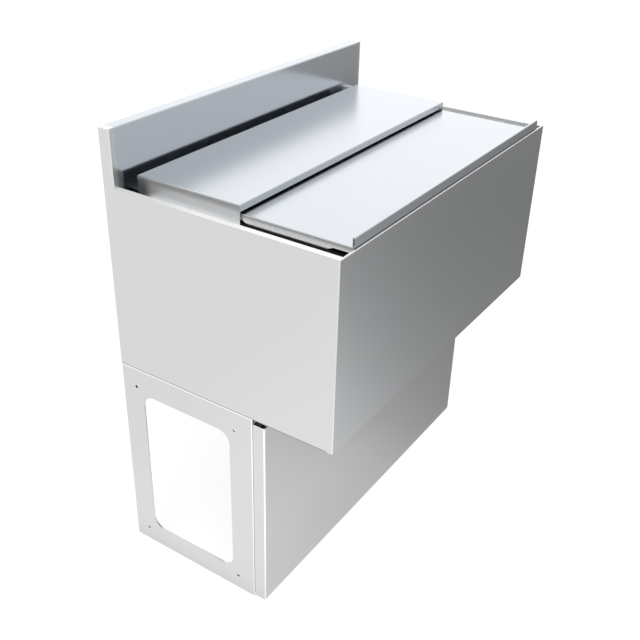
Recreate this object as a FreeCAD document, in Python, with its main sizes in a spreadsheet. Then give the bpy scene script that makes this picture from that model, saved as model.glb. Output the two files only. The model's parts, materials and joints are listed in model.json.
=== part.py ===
# Bar sink with ice bin: a free-standing stainless unit with a sliding front cover,
# a lift-off rear cover, an insulated ice bin, a drawn sink bowl and an open base.
# X runs to the right, Y to the back, Z up. The origin is on the floor, under the middle.
import FreeCAD, Part
import os
import re
import Sketcher

doc = FreeCAD.newDocument("BarSinkWithIceBin")
sheet = doc.addObject("Spreadsheet::Sheet", "Sizes")

# Every size in millimetres.
sizes = {
    # Overall form
    "unitWidth": 762.0,
    "unitDepth": 462.0,
    "bodyBottom": 417.5,
    "bodyHeight": 344.5,
    "splashRise": 101.0,
    "splashDepth": 24.0,
    # Sheet of the upper body
    "gauge": 1.2,
    "bendRadius": 2.0,
    "flangeWidth": 12.0,
    "footFlange": 25.0,
    "hemDepth": 3.3,
    "hemDrop": 12.0,
    "splashReturn": 20.0,
    # Recessed ledge and its rails
    "ledgeDrop": 20.0,
    "lipGap": 2.0,
    "railInset": 40.0,
    "railWidth": 5.5,
    "railRise": 7.5,
    "railRound": 1.0,
    "railFrontGap": 6.0,
    "railRearGap": 2.0,
    "mouthGap": 0.5,
    "frontLedge": 54.0,
    "rearLedge": 28.0,
    "bridgeWidth": 40.0,
    "rimFlange": 10.0,
    # Front cover
    "lipSetback": 0.5,
    "lipDepth": 4.0,
    "lipRise": 20.0,
    "lipHem": 16.5,
    "lipOverhang": 3.5,
    "lipRound": 1.5,
    "coverLift": 1.0,
    "runnerInset": 3.0,
    "runnerRelief": 4.5,
    "runnerFront": 50.0,
    "runnerRear": 198.0,
    "runnerSlope": 11.0,
    "skirtStart": 5.0,
    "slideGap": 0.1,
    "coverOverlap": 13.0,
    # Rear cover
    "rearCoverSetback": 208.0,
    "rearCoverRise": 17.7,
    "splashGap": 17.0,
    "coverGap": 4.0,
    "skirtPlay": 0.3,
    "straddlePlay": 1.0,
    # Ice bin
    "binLift": 42.1,
    "binCorner": 12.0,
    "binFall": 8.0,
    "binSeat": 38.0,
    "foamGap": 1.0,
    "foamWall": 25.0,
    "foamInset": 3.0,
    "foamDrainRadius": 34.0,
    # False bottom and its rest clips
    "restHeight": 42.0,
    "clipLength": 30.0,
    "clipShelf": 12.0,
    "clipLeg": 14.0,
    "clipGauge": 1.5,
    "clipSpread": 210.0,
    "plateGauge": 1.5,
    "platePlay": 2.0,
    "plateLip": 10.0,
    "plateSlotGap": 35.0,
    "plateSlotWidth": 9.0,
    "plateMargin": 36.0,
    # Drain of the ice bin
    "iceSpout": 16.7,
    "iceThread": 18.2,
    "iceBore": 13.0,
    "iceFlange": 32.0,
    "iceFlangeHeight": 3.0,
    "iceSpoutLength": 80.0,
    "iceNutFlat": 23.0,
    # Sink bowl
    "bowlWidth": 254.0,
    "bowlLift": 68.1,
    "bowlCorner": 12.0,
    "bowlFall": 5.0,
    "bowlSeat": 48.0,
    "drainRear": 108.0,
    # Drain of the sink
    "sinkSpout": 24.15,
    "sinkThread": 25.6,
    "sinkBore": 19.0,
    "sinkFlange": 44.0,
    "sinkFlangeHeight": 2.5,
    "sinkSpoutLength": 80.0,
    "sinkNutFlat": 33.0,
    "nutHeight": 12.0,
    "threadLength": 22.0,
    "threadPlay": 0.25,
    "holePlay": 0.6,
    "panHolePlay": 4.0,
    # Overflow standpipe
    "pipeRadius": 18.7,
    "pipeWall": 2.5,
    "pipeCollar": 22.0,
    "pipeCollarHeight": 10.0,
    "pipePlug": 18.0,
    "pipeBelowLedge": 40.0,
    "pipeNotch": 9.0,
    "pipeNotchDepth": 12.0,
    # Base side frames
    "baseDepth": 301.0,
    "baseGauge": 2.0,
    "baseBend": 3.0,
    "baseFlange": 25.0,
    "windowMargin": 50.4,
    "windowFloor": 48.3,
    "windowTop": 51.8,
    "windowCorner": 25.0,
    "gangHole": 3.0,
    "gangRear": 34.0,
    "gangFront": 38.5,
    "gangLow": 33.5,
    "gangTop": 40.0,
    # Tie rails between the side frames
    "tieHeight": 50.0,
    "tieDepth": 25.0,
    "tieEndGap": 1.5,
    # Kick panel and its hangers
    "kickGap": 1.5,
    "kickDepth": 24.5,
    "kickFloor": 7.0,
    "kickTopGap": 9.0,
    "hangerWidth": 22.0,
    "hangerMargin": 12.0,
    "hangerSlotWidth": 13.0,
    "hookInset": 13.0,
    "hookLow": 100.0,
    "hookHigh": 320.0,
    "hookWidth": 10.0,
    "hookGauge": 2.0,
    "hookTip": 6.0,
    "hookPlay": 0.4,
    "kickLift": 8.0,
}

# Places worked out from the sizes.
places = {
    "half": "unitWidth / 2",
    "front": "-unitDepth / 2",
    "rear": "unitDepth / 2",
    "deck": "bodyBottom + bodyHeight",
    "ledge": "deck - ledgeDrop",
    "ledgeUnder": "ledge - gauge",
    "splashTop": "deck + splashRise",
    "splashFace": "rear - splashDepth",
    "railOuter": "half - railInset",
    "railTop": "ledge + railRise",
    "mouthSide": "railOuter - railWidth - mouthGap",
    "mouthFront": "front + frontLedge",
    "mouthRear": "splashFace - rearLedge",
    "mouthMiddle": "(mouthFront + mouthRear) / 2",
    "bowlLeft": "mouthSide - bowlWidth",
    "bowlMiddle": "mouthSide - bowlWidth / 2",
    "binRight": "bowlLeft - bridgeWidth",
    "binMiddle": "(binRight - mouthSide) / 2",
    "panTop": "bodyBottom + 2 * gauge",
    "lipFront": "front + lipSetback",
    "plateTop": "deck + coverLift + gauge",
    "runnerOuter": "railOuter - runnerInset",
    "runnerBottom": "railTop + slideGap",
    "runnerRaised": "runnerBottom + runnerRelief",
    "frontCoverRear": "front + rearCoverSetback + coverOverlap",
    "rearCoverSide": "railOuter + skirtPlay + gauge",
    "rearCoverFront": "front + rearCoverSetback",
    "rearCoverRear": "splashFace - splashGap",
    "rearCoverTop": "deck + rearCoverRise",
    "binFloor": "panTop + binLift",
    "restTop": "binFloor + restHeight",
    "plateSlots": "binRight + mouthSide - 2 * plateMargin",
    "plateSlotLength": "(plateSlots - 2 * plateSlotGap) / 3",
    "bowlFloor": "panTop + bowlLift",
    "drainPlace": "mouthRear - drainRear",
    "baseFront": "rear - baseDepth",
    "baseTop": "bodyBottom - baseGauge",
    "kickRear": "baseFront - kickGap",
    "kickFront": "kickRear - kickDepth",
    "kickTop": "bodyBottom - kickTopGap",
    "hookPlace": "half - hookInset",
    "slotSpan": "hangerSlotWidth / 2",
}

for row, (name, value) in enumerate(sizes.items(), start=1):
    sheet.set(f"A{row}", name)
    sheet.set(f"B{row}", str(value))
    sheet.setAlias(f"B{row}", name)
doc.recompute()


def spelled(text):
    # Each named size or place becomes the cells behind it.
    def swap(match):
        word = match.group(0)
        if word in sizes:
            return "Sizes." + word
        if word in places:
            return "(" + spelled(places[word]) + ")"
        return word
    return re.sub(r"[A-Za-z]\w*", swap, text)


def number(text):
    return float(sheet.evalExpression(spelled(text)))


def bind(feature, target, text):
    feature.setExpression(target, spelled(text))


def newBody(label, x="0", y="0", z="0"):
    body = doc.addObject("PartDesign::Body", label)
    body.Label = label
    bind(body, "Placement.Base.x", x)
    bind(body, "Placement.Base.y", y)
    bind(body, "Placement.Base.z", z)
    return body


def newSketch(body, name, role, offset="0"):
    sketch = body.newObject("Sketcher::SketchObject", name)
    for plane in body.Origin.OriginFeatures:
        if plane.Role == role:
            sketch.AttachmentSupport = (plane, [""])
    sketch.MapMode = "FlatFace"
    bind(sketch, "AttachmentOffset.Base.z", offset)
    return sketch


def hold(sketch, kind, geometry, point, text):
    value = number(text)
    place = sketch.addConstraint(Sketcher.Constraint(kind, -1, 1, geometry, point, value))
    bind(sketch, f"Constraints[{place}]", text)


def polygon(sketch, corners):
    # Closed outline through corners, each held by its two distances from the origin.
    spots = [FreeCAD.Vector(number(x), number(y), 0) for x, y in corners]
    count = len(spots)
    first = sketch.GeometryCount
    for index in range(count):
        sketch.addGeometry(Part.LineSegment(spots[index], spots[(index + 1) % count]))
    for index in range(count):
        after = first + (index + 1) % count
        sketch.addConstraint(Sketcher.Constraint("Coincident", first + index, 2, after, 1))
    for index, (x, y) in enumerate(corners):
        hold(sketch, "DistanceX", first + index, 1, x)
        hold(sketch, "DistanceY", first + index, 1, y)


def rectangle(sketch, left, right, low, high):
    polygon(sketch, [(left, low), (right, low), (right, high), (left, high)])


def roundedRectangle(sketch, left, right, low, high, radius):
    # Four straight sides joined by four quarter arcs of one radius.
    sides = [
        ((f"{left} + {radius}", low), (f"{right} - ({radius})", low)),
        ((right, f"{low} + {radius}"), (right, f"{high} - ({radius})")),
        ((f"{right} - ({radius})", high), (f"{left} + {radius}", high)),
        ((left, f"{high} - ({radius})"), (left, f"{low} + {radius}")),
    ]
    centres = [
        (f"{right} - ({radius})", f"{low} + {radius}"),
        (f"{right} - ({radius})", f"{high} - ({radius})"),
        (f"{left} + {radius}", f"{high} - ({radius})"),
        (f"{left} + {radius}", f"{low} + {radius}"),
    ]
    quarter = 1.5707963267948966
    size = number(radius)
    first = sketch.GeometryCount
    for start, end in sides:
        startSpot = FreeCAD.Vector(number(start[0]), number(start[1]), 0)
        endSpot = FreeCAD.Vector(number(end[0]), number(end[1]), 0)
        sketch.addGeometry(Part.LineSegment(startSpot, endSpot))
    for index, (x, y) in enumerate(centres):
        ring = Part.Circle(FreeCAD.Vector(number(x), number(y), 0), FreeCAD.Vector(0, 0, 1), size)
        startAngle = (index - 1) * quarter
        sketch.addGeometry(Part.ArcOfCircle(ring, startAngle, startAngle + quarter))
    for index, (start, end) in enumerate(sides):
        hold(sketch, "DistanceX", first + index, 1, start[0])
        hold(sketch, "DistanceY", first + index, 1, start[1])
        hold(sketch, "DistanceX", first + index, 2, end[0])
        hold(sketch, "DistanceY", first + index, 2, end[1])
        arc = first + 4 + index
        after = first + (index + 1) % 4
        sketch.addConstraint(Sketcher.Constraint("Coincident", first + index, 2, arc, 1))
        sketch.addConstraint(Sketcher.Constraint("Coincident", arc, 2, after, 1))
        place = sketch.addConstraint(Sketcher.Constraint("Radius", arc, size))
        bind(sketch, f"Constraints[{place}]", radius)


def circle(sketch, x, y, radius):
    spot = FreeCAD.Vector(number(x), number(y), 0)
    ring = sketch.addGeometry(Part.Circle(spot, FreeCAD.Vector(0, 0, 1), number(radius)))
    hold(sketch, "DistanceX", ring, 3, x)
    hold(sketch, "DistanceY", ring, 3, y)
    place = sketch.addConstraint(Sketcher.Constraint("Radius", ring, number(radius)))
    bind(sketch, f"Constraints[{place}]", radius)


def hexagon(sketch, x, y, flat):
    # Hexagon with flats at the given distance from its middle.
    corner = f"2 * {flat} / sqrt(3)"
    step = f"{flat} / sqrt(3)"
    polygon(sketch, [
        (f"{x} + {corner}", y),
        (f"{x} + {step}", f"{y} + {flat}"),
        (f"{x} - {step}", f"{y} + {flat}"),
        (f"{x} - {corner}", y),
        (f"{x} - {step}", f"{y} - {flat}"),
        (f"{x} + {step}", f"{y} - {flat}"),
    ])


def pad(body, sketch, length, reverse=False, side="One side"):
    feature = body.newObject("PartDesign::Pad", sketch.Name + "Pad")
    feature.Profile = sketch
    feature.Reversed = reverse
    feature.SideType = side
    bind(feature, "Length", length)
    doc.recompute()
    return feature


def pocket(body, sketch, length, reverse=False, side="One side"):
    before = body.Shape.Volume
    feature = body.newObject("PartDesign::Pocket", sketch.Name + "Pocket")
    feature.Profile = sketch
    feature.Reversed = reverse
    feature.SideType = side
    bind(feature, "Length", length)
    doc.recompute()
    if body.Shape.Volume > before - 1e-3:
        raise ValueError(f"{feature.Name} cuts nothing")
    return feature


def edgesWhere(shape, test):
    # Names of the straight or round edges whose ends and middle all pass the test.
    names = []
    for index, edge in enumerate(shape.Edges, start=1):
        middle = edge.valueAt((edge.FirstParameter + edge.LastParameter) / 2)
        spots = [vertex.Point for vertex in edge.Vertexes] + [middle]
        if all(test(spot) for spot in spots):
            names.append(f"Edge{index}")
    return names


def facesWhere(shape, test):
    names = []
    for index, face in enumerate(shape.Faces, start=1):
        box = face.BoundBox
        if test(box):
            names.append(f"Face{index}")
    return names


def near(value, text):
    return abs(value - number(text)) < 1e-4


def fillet(body, name, radius, test):
    base = body.Tip
    feature = body.newObject("PartDesign::Fillet", name)
    feature.Base = (base, edgesWhere(base.Shape, test))
    bind(feature, "Radius", radius)
    doc.recompute()
    return feature


def shell(body, name, thickness, openTest, outward=False):
    # Leaves a sheet of even thickness, open where the named faces were.
    base = body.Tip
    feature = body.newObject("PartDesign::Thickness", name)
    feature.Base = (base, facesWhere(base.Shape, openTest))
    feature.Reversed = not outward
    bind(feature, "Value", thickness)
    doc.recompute()
    return feature


def revolve(body, sketch):
    feature = body.newObject("PartDesign::Revolution", sketch.Name + "Turn")
    feature.Profile = sketch
    feature.ReferenceAxis = (sketch, ["V_Axis"])
    feature.Angle = 360
    doc.recompute()
    return feature


def mirrored(label, source):
    # The same piece for the other side, mirrored in the middle plane.
    copy = doc.addObject("Part::Mirroring", label)
    copy.Label = label
    copy.Source = source
    copy.Normal = (1, 0, 0)
    copy.Base = (0, 0, 0)
    doc.recompute()
    return copy


def welded(label, source, cells):
    # The sheets that a source form is welded from: what lies of it in each cell, edge to edge.
    sheets = []
    for index, (left, right, front, rear, low, high) in enumerate(cells):
        cell = doc.addObject("Part::Box", f"{label}Cell{index}")
        for target, text in (
            ("Placement.Base.x", left),
            ("Placement.Base.y", front),
            ("Placement.Base.z", low),
            ("Length", f"{right} - ({left})"),
            ("Width", f"{rear} - ({front})"),
            ("Height", f"{high} - ({low})"),
        ):
            bind(cell, target, text)
        piece = doc.addObject("Part::Common", f"{label}Sheet{index}")
        piece.Base = source
        piece.Tool = cell
        sheets.append(piece)
    whole = doc.addObject("Part::Compound", label)
    whole.Label = label
    whole.Links = sheets
    doc.recompute()


# Front panel: a shallow pan with its top edge turned into a narrow open hem.
frontPanel = newBody("front_panel")
block = newSketch(frontPanel, "frontPanelBlock", "XY_Plane", "bodyBottom")
rectangle(block, "-half", "half", "front", "front + flangeWidth")
pad(frontPanel, block, "bodyHeight")
fillet(frontPanel, "frontPanelBends", "bendRadius", lambda spot: near(spot.y, "front"))
shell(frontPanel, "frontPanelSheet", "gauge", lambda box: near(box.YMin, "front + flangeWidth"))
cut = newSketch(frontPanel, "frontPanelMouth", "XY_Plane", "deck + 1")
rectangle(cut, "-half + flangeWidth", "half - flangeWidth", "front + hemDepth", "front + flangeWidth + 1")
pocket(frontPanel, cut, "gauge + 2")
hem = newSketch(frontPanel, "frontPanelHem", "XY_Plane", "deck")
rectangle(hem, "-half + flangeWidth", "half - flangeWidth", "front + hemDepth - gauge", "front + hemDepth")
pad(frontPanel, hem, "hemDrop", reverse=True)
fillet(frontPanel, "frontPanelHemBend", "gauge * 0.75", lambda spot: (
    near(spot.z, "deck") and near(spot.y, "front + hemDepth")
))

# Left side panel: one sheet with the end of the backsplash, flanged inwards all round.
sidePanel = newBody("side_panel_left")
block = newSketch(sidePanel, "sidePanelBlock", "YZ_Plane", "-half")
polygon(block, [
    ("front + flangeWidth", "bodyBottom"),
    ("rear", "bodyBottom"),
    ("rear", "splashTop"),
    ("splashFace", "splashTop"),
    ("splashFace", "deck"),
    ("front + flangeWidth", "deck"),
])
pad(sidePanel, block, "footFlange")
fillet(sidePanel, "sidePanelBends", "bendRadius", lambda spot: (
    near(spot.x, "-half") and not near(spot.y, "front + flangeWidth")
))
inside = newSketch(sidePanel, "sidePanelInside", "YZ_Plane", "-half + gauge")
polygon(inside, [
    ("front", "bodyBottom + gauge"),
    ("rear - gauge", "bodyBottom + gauge"),
    ("rear - gauge", "splashTop - gauge"),
    ("splashFace + gauge", "splashTop - gauge"),
    ("splashFace + gauge", "deck - gauge"),
    ("front", "deck - gauge"),
])
pocket(sidePanel, inside, "footFlange", reverse=True)
trim = newSketch(sidePanel, "sidePanelTrim", "YZ_Plane", "-half + flangeWidth")
rectangle(trim, "front", "rear + 1", "panTop - gauge", "splashTop + 1")
pocket(sidePanel, trim, "footFlange", reverse=True)
mirrored("side_panel_right", sidePanel)

# Backsplash: a hollow box bent from one sheet, open below, that stands on the ledge.
backsplash = newBody("backsplash")
block = newSketch(backsplash, "backsplashBlock", "XY_Plane", "ledge")
rectangle(block, "-half + flangeWidth", "half - flangeWidth", "splashFace", "rear")
pad(backsplash, block, "ledgeDrop + splashRise")
fillet(backsplash, "backsplashBends", "bendRadius", lambda spot: (
    near(spot.z, "splashTop") and (near(spot.y, "splashFace") or near(spot.y, "rear"))
))
shell(backsplash, "backsplashSheet", "gauge", lambda box: (
    near(box.ZMax, "ledge") or near(box.XMax, "-half + flangeWidth") or near(box.XMin, "half - flangeWidth")
))
cut = newSketch(backsplash, "backsplashRearCut", "XY_Plane", "ledge - 1")
rectangle(cut, "-half", "half", "rear - 2 * gauge", "rear + 1")
pocket(backsplash, cut, "1 + ledgeDrop + splashRise - splashReturn", reverse=True)

# Rear panel: a flat sheet under the backsplash's rear return, with a turned-in foot.
rearPanel = newBody("rear_panel")
block = newSketch(rearPanel, "rearPanelBlock", "XY_Plane", "bodyBottom")
rectangle(block, "-half + flangeWidth", "half - flangeWidth", "rear - flangeWidth", "rear")
pad(rearPanel, block, "bodyHeight + splashRise - splashReturn")
fillet(rearPanel, "rearPanelBend", "bendRadius", lambda spot: (
    near(spot.z, "bodyBottom") and near(spot.y, "rear")
))
shell(rearPanel, "rearPanelSheet", "gauge", lambda box: (
    near(box.YMax, "rear - flangeWidth")
    or near(box.XMax, "-half + flangeWidth")
    or near(box.XMin, "half - flangeWidth")
    or near(box.ZMin, "splashTop - splashReturn")
))
notch = newSketch(rearPanel, "rearPanelNotches", "XY_Plane", "bodyBottom - 1")
rectangle(notch, "-half", "-half + footFlange", "rear - flangeWidth - 1", "rear + 1")
rectangle(notch, "half - footFlange", "half", "rear - flangeWidth - 1", "rear + 1")
pocket(rearPanel, notch, "1 + gauge", reverse=True)

# Bottom pan: lies on the feet of the panels and carries the insulation.
bottomPan = newBody("bottom_pan")
plate = newSketch(bottomPan, "bottomPanPlate", "XY_Plane", "bodyBottom + gauge")
rectangle(plate, "-half + bendRadius", "half - bendRadius", "front + bendRadius", "rear - bendRadius")
circle(plate, "binMiddle", "mouthMiddle", "iceSpout + panHolePlay")
circle(plate, "bowlMiddle", "drainPlace", "sinkSpout + panHolePlay")
pad(bottomPan, plate, "gauge")

# Deck rim: the recessed ledge, a shallow tray welded from strips round the two mouths.
deckRim = newBody("deckRimTray")
block = newSketch(deckRim, "deckRimBlock", "XY_Plane", "ledgeUnder")
trayLeft, trayRight = "-half + gauge", "half - gauge"
trayFront, trayRear = "front + gauge", "rear - gauge"
polygon(block, [
    (f"{trayLeft} + bendRadius", trayFront),
    (f"{trayRight} - bendRadius", trayFront),
    (trayRight, f"{trayFront} + bendRadius"),
    (trayRight, f"{trayRear} - bendRadius"),
    (f"{trayRight} - bendRadius", trayRear),
    (f"{trayLeft} + bendRadius", trayRear),
    (trayLeft, f"{trayRear} - bendRadius"),
    (trayLeft, f"{trayFront} + bendRadius"),
])
pad(deckRim, block, "gauge + ledgeDrop - hemDrop - lipGap")
shell(deckRim, "deckRimSheet", "gauge", lambda box: near(box.ZMin, "deck - hemDrop - lipGap"))
mouths = newSketch(deckRim, "deckRimMouths", "XY_Plane", "ledge + 1")
rectangle(mouths, "-mouthSide", "binRight", "mouthFront", "mouthRear")
rectangle(mouths, "bowlLeft", "mouthSide", "mouthFront", "mouthRear")
pocket(deckRim, mouths, "gauge + 2")
stripHeight = ("ledgeUnder - 1", "deck")
welded("deck_rim", deckRim, [
    ("-half", "half", "front", "mouthFront", *stripHeight),
    ("-half", "half", "mouthRear", "rear", *stripHeight),
    ("-half", "-mouthSide", "mouthFront", "mouthRear", *stripHeight),
    ("binRight", "bowlLeft", "mouthFront", "mouthRear", *stripHeight),
    ("mouthSide", "half", "mouthFront", "mouthRear", *stripHeight),
])

# Left cover rail: a plastic strip on the ledge beside the mouths, for the cover to run on.
rail = newBody("cover_rail_left")
block = newSketch(rail, "railBlock", "XY_Plane", "ledge")
rectangle(block, "-railOuter", "-railOuter + railWidth", "front + railFrontGap", "splashFace - railRearGap")
pad(rail, block, "railRise")
fillet(rail, "railRounds", "railRound", lambda spot: (
    near(spot.z, "railTop")
    and (near(spot.x, "-railOuter") or near(spot.x, "-railOuter + railWidth"))
))
mirrored("cover_rail_right", rail)

# Front cover: a plate with runners at its sides and a hemmed lip to pull it by.
frontCover = newBody("front_cover")
block = newSketch(frontCover, "frontCoverBlock", "XY_Plane", "runnerBottom")
rectangle(block, "-runnerOuter", "runnerOuter", "lipFront", "frontCoverRear")
pad(frontCover, block, "plateTop - runnerBottom")
fillet(frontCover, "frontCoverBends", "bendRadius", lambda spot: (
    near(spot.z, "plateTop") and (near(abs(spot.x), "runnerOuter") or near(spot.y, "frontCoverRear"))
))
shell(frontCover, "frontCoverSheet", "gauge", lambda box: (
    near(box.ZMax, "runnerBottom") or near(box.YMax, "lipFront")
))
ends = newSketch(frontCover, "frontCoverRunnerEnds", "YZ_Plane")
polygon(ends, [
    ("front - 1", "runnerBottom - 1"),
    ("front + runnerFront", "runnerBottom - 1"),
    ("front + runnerFront", "runnerBottom"),
    ("front + runnerFront - runnerSlope", "runnerRaised"),
    ("front + skirtStart", "runnerRaised"),
    ("front + skirtStart", "deck + coverLift"),
    ("front - 1", "deck + coverLift"),
])
polygon(ends, [
    ("front + runnerRear", "runnerBottom - 1"),
    ("frontCoverRear + 1", "runnerBottom - 1"),
    ("frontCoverRear + 1", "runnerRaised"),
    ("front + runnerRear + runnerSlope", "runnerRaised"),
    ("front + runnerRear", "runnerBottom"),
])
pocket(frontCover, ends, "unitWidth", side="Symmetric")
lip = newSketch(frontCover, "frontCoverLip", "YZ_Plane")
polygon(lip, [
    ("lipFront", "deck + coverLift"),
    ("lipFront", "deck + lipRise"),
    ("lipFront + lipDepth", "deck + lipRise"),
    ("lipFront + lipDepth", "deck + lipRise - lipHem"),
    ("lipFront + lipDepth - gauge", "deck + lipRise - lipHem"),
    ("lipFront + lipDepth - gauge", "deck + lipRise - gauge"),
    ("lipFront + gauge", "deck + lipRise - gauge"),
    ("lipFront + gauge", "deck + coverLift"),
])
pad(frontCover, lip, "2 * (runnerOuter + lipOverhang)", side="Symmetric")
fillet(frontCover, "frontCoverLipBends", "lipRound", lambda spot: (
    near(spot.z, "deck + lipRise") and (near(spot.y, "lipFront") or near(spot.y, "lipFront + lipDepth"))
))
fillet(frontCover, "frontCoverLipFoot", "gauge * 0.75", lambda spot: (
    near(spot.z, "deck + coverLift") and near(spot.y, "lipFront")
))

# Rear cover: a deep tray turned over, whose skirts stand on the ledge outside the rails.
rearCover = newBody("rear_cover")
block = newSketch(rearCover, "rearCoverBlock", "XY_Plane", "ledge")
rectangle(block, "-rearCoverSide", "rearCoverSide", "rearCoverFront", "rearCoverRear")
pad(rearCover, block, "ledgeDrop + rearCoverRise")
fillet(rearCover, "rearCoverBends", "bendRadius", lambda spot: near(spot.z, "rearCoverTop"))
shell(rearCover, "rearCoverSheet", "gauge", lambda box: near(box.ZMax, "ledge"))
opening = newSketch(rearCover, "rearCoverSlot", "XZ_Plane", "-rearCoverFront + 1")
rectangle(opening, "-railOuter - skirtPlay", "railOuter + skirtPlay", "ledge - 1", "plateTop + coverGap")
pocket(rearCover, opening, "1 + 3 * bendRadius")
straddle = newSketch(rearCover, "rearCoverStraddle", "XZ_Plane", "-rearCoverRear - 1")
for left, right in (
    ("-railOuter - skirtPlay", "-railOuter + railWidth + straddlePlay"),
    ("railOuter - railWidth - straddlePlay", "railOuter + skirtPlay"),
):
    rectangle(straddle, left, right, "ledge - 1", "railTop + straddlePlay")
pocket(rearCover, straddle, "1 + 2 * bendRadius", reverse=True)


def tub(name, left, right, corner, floor, fall, seat, hole, grow):
    # Solid form of a tub, grown by grow on every face: straight walls, corners and a cove
    # of one radius, and a floor that falls from all four sides to a flat seat for the drain.
    low = f"({floor} + {fall} - {grow})"
    sides = (f"{left} - {grow}", f"{right} + {grow}")
    ends = (f"mouthFront - {grow}", f"mouthRear + {grow}")
    body = doc.addObject("PartDesign::Body", name)
    brim = newSketch(body, name + "Brim", "XY_Plane", "ledgeUnder")
    rectangle(brim, *sides, *ends)
    pad(body, brim, f"ledgeUnder - {low}", reverse=True)
    fillet(body, name + "Cove", f"{corner} + {grow}", lambda spot: (
        near(spot.z, low)
        or any(near(spot.x, side) for side in sides) and any(near(spot.y, end) for end in ends)
    ))
    seatX, seatY, seatHalf = seat
    slopes = body.newObject("PartDesign::AdditiveWedge", name + "Slopes")
    slopes.Placement.Rotation = FreeCAD.Rotation(FreeCAD.Vector(1, 0, 0), -90)
    bind(slopes, "Placement.Base.z", low)
    for target, text in (
        ("Xmin", f"{left} + {corner}"),
        ("Xmax", f"{right} - {corner}"),
        ("Zmin", f"mouthFront + {corner}"),
        ("Zmax", f"mouthRear - {corner}"),
        ("X2min", f"{seatX} - {seatHalf}"),
        ("X2max", f"{seatX} + {seatHalf}"),
        ("Z2min", f"{seatY} - {seatHalf}"),
        ("Z2max", f"{seatY} + {seatHalf}"),
        ("Ymin", "0"),
        ("Ymax", fall),
    ):
        bind(slopes, target, text)
    doc.recompute()
    if hole:
        bore = newSketch(body, name + "Bore", "XY_Plane", f"{floor} - 3 * gauge")
        circle(bore, seatX, seatY, hole)
        pad(body, bore, "4 * gauge")
    else:
        flange = newSketch(body, name + "Flange", "XY_Plane", "ledgeUnder")
        rectangle(
            flange,
            f"{left} - rimFlange", f"{right} + rimFlange",
            "mouthFront - rimFlange", "mouthRear + rimFlange",
        )
        pad(body, flange, "gauge", reverse=True)
    return body


def sheetTub(label, *form):
    # The grown form less the true one leaves a sheet of even thickness, welded from a floor
    # pan, four walls and four corner strips.
    skin = doc.addObject("Part::Cut", label + "Skin")
    skin.Base = tub(label + "Outside", *form[:-1], None, "gauge")
    skin.Tool = tub(label + "Inside", *form, "0")
    doc.recompute()
    left, right, corner, floor, fall = form[:5]
    edge = "rimFlange + 1"
    width = (f"{left} - {edge}", f"{left} + {corner}", f"{right} - {corner}", f"{right} + {edge}")
    depth = (
        f"mouthFront - {edge}", f"mouthFront + {corner}",
        f"mouthRear - {corner}", f"mouthRear + {edge}",
    )
    weld = f"{floor} + {fall} + {corner}"
    cells = [(width[0], width[3], depth[0], depth[3], f"{floor} - 3 * gauge", weld)]
    for column in range(3):
        for row in range(3):
            if (column, row) != (1, 1):
                cells.append((*width[column:column + 2], *depth[row:row + 2], weld, "ledge"))
    welded(label, skin, cells)


# Ice bin liner: creased floor with the drain in its middle.
sheetTub(
    "ice_bin_liner", "-mouthSide", "binRight", "binCorner", "binFloor", "binFall",
    ("binMiddle", "mouthMiddle", "binSeat"), "iceThread + holePlay",
)

# Sink bowl: narrower and less deep, with the drain towards the back.
sheetTub(
    "sink_bowl", "bowlLeft", "mouthSide", "bowlCorner", "bowlFloor", "bowlFall",
    ("bowlMiddle", "drainPlace", "bowlSeat"), "sinkThread + holePlay",
)

# Insulation: a foam block round the liner, standing on the bottom pan.
foam = newBody("ice_bin_insulation")
block = newSketch(foam, "foamBlock", "XY_Plane", "panTop")
rectangle(
    block,
    "-half + footFlange + foamGap", "binRight + gauge + foamWall",
    "front + foamInset", "rear - foamInset",
)
pad(foam, block, "ledgeUnder - gauge - foamGap - panTop")
cavity = newSketch(foam, "foamCavity", "XY_Plane", "ledgeUnder")
rectangle(
    cavity,
    "-mouthSide - gauge - foamGap", "binRight + gauge + foamGap",
    "mouthFront - gauge - foamGap", "mouthRear + gauge + foamGap",
)
pocket(foam, cavity, "ledge - binFloor + foamGap")
drainWay = newSketch(foam, "foamDrainWay", "XY_Plane", "binFloor + binFall")
circle(drainWay, "binMiddle", "mouthMiddle", "foamDrainRadius")
pocket(foam, drainWay, "binFloor + binFall - bodyBottom")

# Rest clips: four small angles on the side walls of the bin.
clips = newBody("bin_rest_clips")
clips.AllowCompound = True
for name, middle in (
    ("clipsFront", "mouthMiddle - clipSpread / 2"),
    ("clipsRear", "mouthMiddle + clipSpread / 2"),
):
    angle = newSketch(clips, name, "XZ_Plane", f"-({middle}) - clipLength / 2")
    polygon(angle, [
        ("-mouthSide", "restTop - clipLeg"),
        ("-mouthSide", "restTop"),
        ("-mouthSide + clipShelf", "restTop"),
        ("-mouthSide + clipShelf", "restTop - clipGauge"),
        ("-mouthSide + clipGauge", "restTop - clipGauge"),
        ("-mouthSide + clipGauge", "restTop - clipLeg"),
    ])
    polygon(angle, [
        ("binRight", "restTop - clipLeg"),
        ("binRight", "restTop"),
        ("binRight - clipShelf", "restTop"),
        ("binRight - clipShelf", "restTop - clipGauge"),
        ("binRight - clipGauge", "restTop - clipGauge"),
        ("binRight - clipGauge", "restTop - clipLeg"),
    ])
    pad(clips, angle, "clipLength")

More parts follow.
